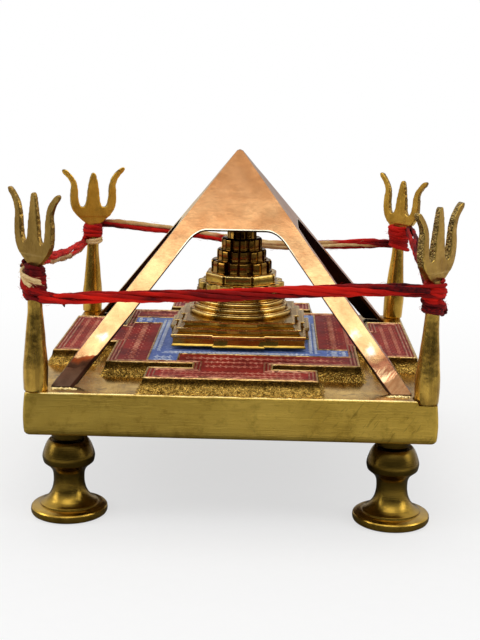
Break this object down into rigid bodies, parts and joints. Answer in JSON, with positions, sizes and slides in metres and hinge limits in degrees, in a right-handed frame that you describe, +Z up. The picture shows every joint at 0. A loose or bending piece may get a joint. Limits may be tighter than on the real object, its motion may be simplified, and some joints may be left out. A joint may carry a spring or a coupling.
{
  "type": "vastu yantra pyramid",
  "caption": "Cast brass plate on turned feet with an enamelled square diagram, a stepped Meru under an open copper pyramid, and thread-tied tridents at the corners.",
  "frame": {"origin": "on the surface under the feet, below the middle of the plate", "axes": "+Z up, the front looks along -Y, +X to the right seen from the front"},
  "size_m": [0.1114, 0.1096, 0.0889],
  "materials": {
    "cast_brass": "brushed sides, rough cast relief walls",
    "turned_brass": "satin turned",
    "trident_brass": "cast, front faces rubbed flat",
    "meru_brass": "cast and polished",
    "copper_sheet": "polished copper",
    "steel": "plain",
    "red_enamel": "enamel paint, satin",
    "blue_enamel": "enamel paint, satin",
    "cotton_thread": "twisted cotton yarn, red and cream"
  },
  "bodies": {
    "plate": {"base_plate": "cast_brass", "enamel_red_front": "red_enamel", "enamel_red_right": "red_enamel", "enamel_red_rear": "red_enamel", "enamel_red_left": "red_enamel", "enamel_blue_ring": "blue_enamel", "meru_yantra": "meru_brass", "meru_screw": "steel", "foot_front_left": "turned_brass", "foot_front_right": "turned_brass", "foot_rear_right": "turned_brass", "foot_rear_left": "turned_brass", "foot_stud_front_left": "steel", "foot_stud_front_right": "steel", "foot_stud_rear_right": "steel", "foot_stud_rear_left": "steel", "trishul_front_left": "trident_brass", "trishul_front_right": "trident_brass", "trishul_rear_right": "trident_brass", "trishul_rear_left": "trident_brass", "thread_wrap_front_left": "cotton_thread", "thread_wrap_front_right": "cotton_thread", "thread_wrap_rear_right": "cotton_thread", "thread_wrap_rear_left": "cotton_thread", "thread_span_front": "cotton_thread", "thread_span_right": "cotton_thread", "thread_span_rear": "cotton_thread", "thread_span_left": "cotton_thread"},
    "pyramid": {"copper_pyramid": "copper_sheet"}
  },
  "joints": [
    {"name": "pyramid_lift", "type": "slide", "parent": "plate", "child": "pyramid", "axis": [0, 0, 1], "range_m": [0, 0.08]}
  ]
}
